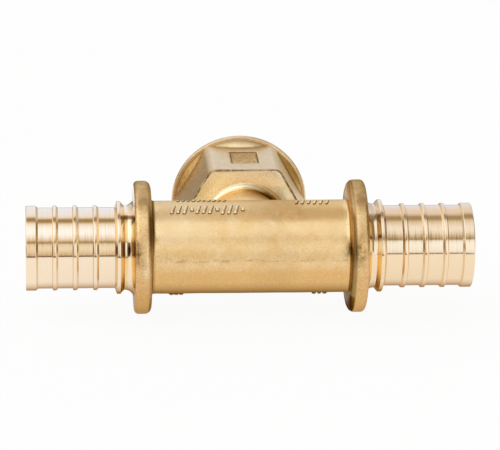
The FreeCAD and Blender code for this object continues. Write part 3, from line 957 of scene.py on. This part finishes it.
# ---------------------------------------------------------------- raised marks on the run
def raised_mark(skin, x, degrees, half_width, half_length, lean, height):
    """A pillow with a flat top on the tube's skin. Its length runs round the tube."""
    columns, rows_up = 8, 10
    rows = []
    for j in range(rows_up + 1):
        v = 2 * j / rows_up - 1
        row = []
        for i in range(columns + 1):
            u = 2 * i / columns - 1
            lift = (1 - abs(u) ** 3) * (1 - abs(v) ** 6)
            radius = TUBE - 0.07 + (height + 0.07) * lift**0.6
            turn = math.radians(degrees) + v * half_length / TUBE
            across = x + u * half_width + lean * v * half_length
            row.append((across, -radius * math.cos(turn), radius * math.sin(turn)))
        rows.append(row)
    start = len(skin.points)
    skin.grid(rows, 0, closed=False)
    width = columns + 1
    edge = [start + i for i in range(width)]
    edge += [start + width * j + columns for j in range(1, rows_up + 1)]
    edge += [start + width * rows_up + i for i in range(columns - 1, -1, -1)]
    edge += [start + width * j for j in range(rows_up - 1, 0, -1)]
    skin.faces.append(tuple(edge))
    skin.materials.append(0)


def make_marks():
    """Rows of plain leaning bars and pips along the run's top, with a few low on its front."""
    marks = Skin()
    between = random.Random(4).uniform
    left_row, rear_row, right_row = 70.5, 97.5, 88  # degrees up from the front
    for i in range(12):
        x = -17.3 + i * 1.42
        if i % 4 == 3:
            raised_mark(marks, x, left_row, 0.48, 0.6, 0, 0.4)
        else:
            raised_mark(marks, x, left_row, 0.4, between(1.45, 1.8), 0.24, 0.44)
    for i in range(10):
        raised_mark(marks, -15.9 + i * 1.15, rear_row, between(0.26, 0.44), 0.6, 0.3, between(0.2, 0.36))
    for i in range(6):
        raised_mark(marks, 10.6 + i * 1.36, right_row, 0.34, between(0.9, 1.2), 0.25, 0.4)
    for x in (-17.5, -16.4, -15.3, 14.6, 15.8, 17.0):
        raised_mark(marks, x, between(-76, -73), between(0.35, 0.6), 0.9, 0.1, between(0.3, 0.42))
    return marks.build("raised_marks", [materials[MARK]])


keep(make_marks())


def make_parting_line():
    """The low ridge left where the two halves of the die met, round the run's front and back."""
    line = Skin()

    def strip(stations, place, seed):
        rows = []
        for i, station in enumerate(stations):
            end = min(1, i / 3, (len(stations) - 1 - i) / 3)
            wander = noise.noise(Vector((station * 0.7, seed, 0))) * 0.12
            swell = 0.5 + 0.5 * noise.noise(Vector((station * 1.3, seed, 5)))
            width = 0.16 + 0.1 * swell
            height = (0.03 + 0.07 * swell) * end
            section = ((-1, -0.05), (-0.45, height * 0.8), (0, height), (0.45, height * 0.8), (1, -0.05))
            rows.append([place(station, wander + across * width, up) for across, up in section])
        start = len(line.points)
        line.grid(rows, 0)
        width = len(rows[0])
        last = start + width * (len(rows) - 1)
        line.faces += [tuple(range(start, start + width)), tuple(range(last, last + width))]
        line.materials += [0, 0]

    def spaced(a, b, gap=0.3):
        count = round(abs(b - a) / gap)
        return [lerp(a, b, i / count) for i in range(count + 1)]

    strip(spaced(-21.2, 21.2), lambda s, z, up: (s, -(TUBE + up), z), 1)
    for side in (-1, 1):
        strip(spaced(side * 12.3, side * 21.2), lambda s, z, up: (s, TUBE + up, z), 3 + side)
        for face in (-1, 1):
            strip(
                spaced(side * 23.3, side * 25.1, 0.15),
                lambda s, z, up: (s, face * (COLLAR + up * 0.8), z),
                11 + side + 3 * face,
            )
    return line.build("parting_line", [materials[FORGED]])


keep(make_parting_line())


# ---------------------------------------------------------------- floor, light and camera
def make_floor():
    """An endless white floor. The metal mirrors only a table of it, and the studio's gaps past that."""
    floor = Skin()
    low = -FLANGE - 0.02
    floor.points = [(-4000, -4000, low), (4000, -4000, low), (4000, 4000, low), (-4000, 4000, low)]
    floor.faces, floor.materials = [(0, 1, 2, 3)], [0]
    nodes = Nodes("pale_floor")
    nodes.set("Base Color", colour(0.95, 0.95, 0.95))
    nodes.set("Roughness", 0.9)
    nodes.set("Specular IOR Level", 0.0)
    path = nodes.add("ShaderNodeLightPath").outputs
    white = nodes.add("ShaderNodeEmission", {"Color": colour(1, 1, 1), "Strength": 1.0}).outputs[0]
    mirrored = nodes.most(path["Is Glossy Ray"], path["Is Transmission Ray"])
    share = nodes.most(nodes.times(mirrored, 0.7), nodes.times(path["Is Camera Ray"], 0.94))
    mixed = nodes.add("ShaderNodeMixShader", {0: share, 1: nodes.shader.outputs[0], 2: white}).outputs[0]
    table_middle, table_half = 7, 135
    _, depth, _ = nodes.split(nodes.place())
    outside = nodes.math("GREATER_THAN", nodes.off(depth, table_middle), table_half)
    clear = nodes.add("ShaderNodeBsdfTransparent").outputs[0]
    open_part = nodes.times(mirrored, outside)
    whole = nodes.add("ShaderNodeMixShader", {0: open_part, 1: mixed, 2: clear}).outputs[0]
    nodes.join(nodes.tree.nodes["Material Output"].inputs["Surface"], whole)
    return floor.build("floor", [nodes.material], weld=0)


make_floor()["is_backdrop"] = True


def make_studio():
    """A pale room, given as light by direction: softbox above, dark gaps beside it, panels in front."""
    world = bpy.data.worlds.new("studio")
    bpy.context.scene.world = world
    world.use_nodes = True
    nodes = Graph(world.node_tree)
    x, y, z = nodes.split(nodes.add("ShaderNodeTexCoord").outputs["Generated"])
    angle = nodes.math("ARCTAN2", z, nodes.times(y, -1.0))
    turn = nodes.plus(nodes.math("DIVIDE", angle, math.tau), 0.5)

    # Lists of (degrees, brightness or colour). The degrees count from level in front (0), over the
    # top (90), to level behind (180), and below 0 they go under the floor.
    gap = (0.22, 0.15, 0.08)
    below = [(-180, (0.42, 0.39, 0.34)), (-100, (0.45, 0.42, 0.37)), (-60, 0.9), (-16, 0.9), (-14, gap)]
    left = below + [
        (-4.5, gap), (-3, (0.58, 0.44, 0.28)), (5, (0.78, 0.63, 0.4)), (12, (0.89, 0.79, 0.57)),
        (20, (0.91, 0.82, 0.64)), (28, (0.8, 0.68, 0.47)), (30.5, (0.4, 0.31, 0.16)), (34, (0.42, 0.33, 0.18)),
        (38, (0.8, 0.7, 0.52)), (44, (1.0, 0.98, 0.94)), (52, (1.1, 1.2, 1.3)), (60, (1.14, 1.3, 1.48)),
        (72, (1.11, 1.27, 1.4)), (80, (1.06, 1.15, 1.23)), (87, (0.98, 1.0, 0.93)), (93, (0.7, 0.6, 0.43)),
        (97, (0.4, 0.28, 0.14)), (106, (0.4, 0.28, 0.14)), (110, (0.7, 0.65, 0.55)), (116, (0.93, 0.97, 1.02)),
        (127, (0.96, 1.04, 1.18)), (150, (0.93, 1.05, 1.25)), (180, (0.9, 1.0, 1.2)),
    ]
    right = below + [
        (-5.5, gap), (-3, (1.0, 1.0, 0.92)), (4, (1.03, 1.12, 1.1)), (15, (1.05, 1.18, 1.22)),
        (27, (1.04, 1.15, 1.18)), (31, (0.95, 0.95, 0.85)), (33.5, (0.38, 0.29, 0.15)), (37, (0.43, 0.34, 0.18)),
        (41, (0.6, 0.5, 0.31)), (47, (0.76, 0.67, 0.5)), (53, (0.9, 0.87, 0.76)), (61, (0.95, 0.95, 0.88)),
        (71, (0.93, 0.92, 0.84)), (78, (0.88, 0.83, 0.71)), (84, (0.78, 0.71, 0.55)), (91, (0.66, 0.56, 0.38)),
        (97, (0.45, 0.34, 0.19)), (107, (0.42, 0.32, 0.18)), (115, (0.7, 0.6, 0.47)), (123, (0.86, 0.78, 0.66)),
        (135, (0.86, 0.81, 0.76)), (148, (0.86, 0.87, 0.88)), (165, (0.85, 0.9, 1.02)),
    ]
    rear = [(-180, (0.26, 0.23, 0.18)), (-100, (0.3, 0.27, 0.22))]
    front = [(-180, (0.56, 0.45, 0.3)), (-100, (0.6, 0.49, 0.33)), (-60, 0.9), (-20, 1.1), (28, 1.1)]
    card, dark_card, shade = (0.38, 0.28, 0.13), (0.25, 0.185, 0.08), (0.14, 0.09, 0.04)
    behind = rear + [(-60, 0.9), (-16, 0.9), (-14, gap), (-4.5, gap)]
    side_left = behind + [
        (-3, 1.1), (28, 1.1), (44, 1.15), (60, 1.25), (90, 1.3),
        (97, 0.35), (106, 0.35), (112, 1.0), (150, 0.9), (180, 0.6),
    ]
    far_left = behind + [
        (-3, shade), (19, shade), (27, 0.9), (50, 1.35), (95, 1.4), (125, 1.0),
        (150, (0.9, 0.82, 0.7)), (180, (0.45, 0.39, 0.3)),
    ]
    side_right = front + [
        (33, 0.7), (38, 0.7), (50, 1.1), (88, 1.1), (98, 0.25), (107, 0.25), (115, 0.8), (180, 0.6),
    ]
    far_right = front + [(38, dark_card), (120, dark_card), (135, 0.8), (180, 0.7)]
    end_right = rear + [(-60, 0.6), (-25, 0.5), (-10, card), (130, dark_card)]

    # from the far left to the far right, each with the span of x over which it takes over
    order = (
        (far_left, -0.96, -0.92),
        (side_left, -0.46, -0.4),
        (left, -0.14, -0.06),
        (right, 0.04, 0.085),
        (side_right, 0.155, 0.21),
        (far_right, 0.54, 0.64),
        (end_right, 0.72, 0.8),
    )
    tone = colour(0.66, 0.55, 0.37)
    for stops, start, end in order:
        share = nodes.fade(x, start, end, interpolation_type="SMOOTHSTEP")
        tone = nodes.mix(share, tone, nodes.ramp(turn, -180, 180, stops))
    seen = nodes.mix(nodes.add("ShaderNodeLightPath").outputs["Is Camera Ray"], tone, colour(1, 1, 1))
    background = nodes.tree.nodes["Background"]
    nodes.join(background.inputs["Color"], seen)
    nodes.join(background.inputs["Strength"], 1.0)


make_studio()


def make_camera():
    """The photograph's view: its angles, distance and lens were solved from the outline."""
    azimuth, elevation, roll = map(math.radians, (-4.178, 17.492, 0.828))
    distance, focal, aside, raised = 687.95, 3060.95, 0.274, 4.829
    frame_width, sensor = 500, 36.0
    back = Vector((
        math.sin(azimuth) * math.cos(elevation),
        -math.cos(azimuth) * math.cos(elevation),
        math.sin(elevation),
    ))
    level = Vector((math.cos(azimuth), math.sin(azimuth), 0))
    upright = back.cross(level)
    right = math.cos(roll) * level + math.sin(roll) * upright
    up = math.cos(roll) * upright - math.sin(roll) * level
    centre = (back * distance + right * aside + up * raised) * MM
    data = bpy.data.cameras.new("camera")
    data.sensor_width = sensor
    data.sensor_fit = "HORIZONTAL"
    data.lens = focal * sensor / frame_width
    data.clip_start = 0.01
    data.clip_end = 50
    camera = bpy.data.objects.new("camera", data)
    turned = Matrix((right, up, back)).transposed().to_4x4()
    camera.matrix_world = Matrix.Translation(centre) @ turned
    bpy.context.scene.collection.objects.link(camera)
    bpy.context.scene.camera = camera


make_camera()
bpy.context.scene.view_settings.view_transform = "Standard"

[[list(corner) for corner in box] for box in (cad_box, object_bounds())]
